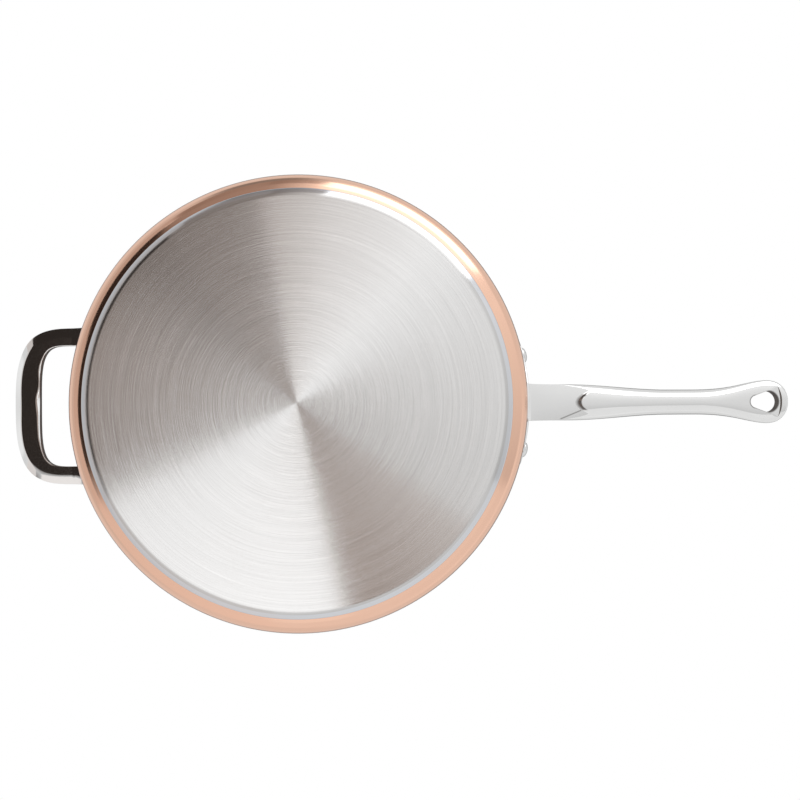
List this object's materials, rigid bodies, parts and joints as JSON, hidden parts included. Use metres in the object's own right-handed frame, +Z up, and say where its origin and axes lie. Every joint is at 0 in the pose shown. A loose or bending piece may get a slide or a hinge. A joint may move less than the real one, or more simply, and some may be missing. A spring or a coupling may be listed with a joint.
{
  "type": "shallow saucepan with lid",
  "caption": "Shallow round copper saucepan on a brushed steel base disc, with a long riveted handle, a helper loop opposite it and a lift-off steel lid.",
  "frame": {"origin": "centre of the flat face that the pan stands on", "axes": "+Z up along the pan's axis, +X out along the long handle"},
  "size_m": [0.4962, 0.2832, 0.125],
  "materials": {
    "copper": null,
    "aluminium": "matt rolled aluminium, seen only as a line at the rim",
    "liner_steel": "satin stainless steel",
    "base_steel": "spin-brushed stainless steel with a polished rounded edge",
    "handle_steel": "mirror-polished cast stainless steel",
    "rivet_steel": "polished stainless steel",
    "lid_steel": "spun stainless steel, satin brushed"
  },
  "bodies": {
    "pan": {"copper_shell": "copper", "aluminium_core": "aluminium", "steel_liner": "liner_steel", "base_cap": "base_steel", "base_spreader": "aluminium", "long_handle": "handle_steel", "long_handle_rivet_1": "rivet_steel", "long_handle_rivet_2": "rivet_steel", "helper_handle": "handle_steel", "helper_rivet_1": "rivet_steel", "helper_rivet_2": "rivet_steel", "helper_rivet_3": "rivet_steel", "helper_rivet_4": "rivet_steel"},
    "lid": {"lid_shell": "lid_steel", "lid_handle": "handle_steel", "lid_rivet_1": "rivet_steel", "lid_rivet_2": "rivet_steel"}
  },
  "joints": [
    {"name": "lid_lift", "type": "slide", "parent": "pan", "child": "lid", "axis": [0, 0, 1], "range_m": [0, 0.16]}
  ]
}
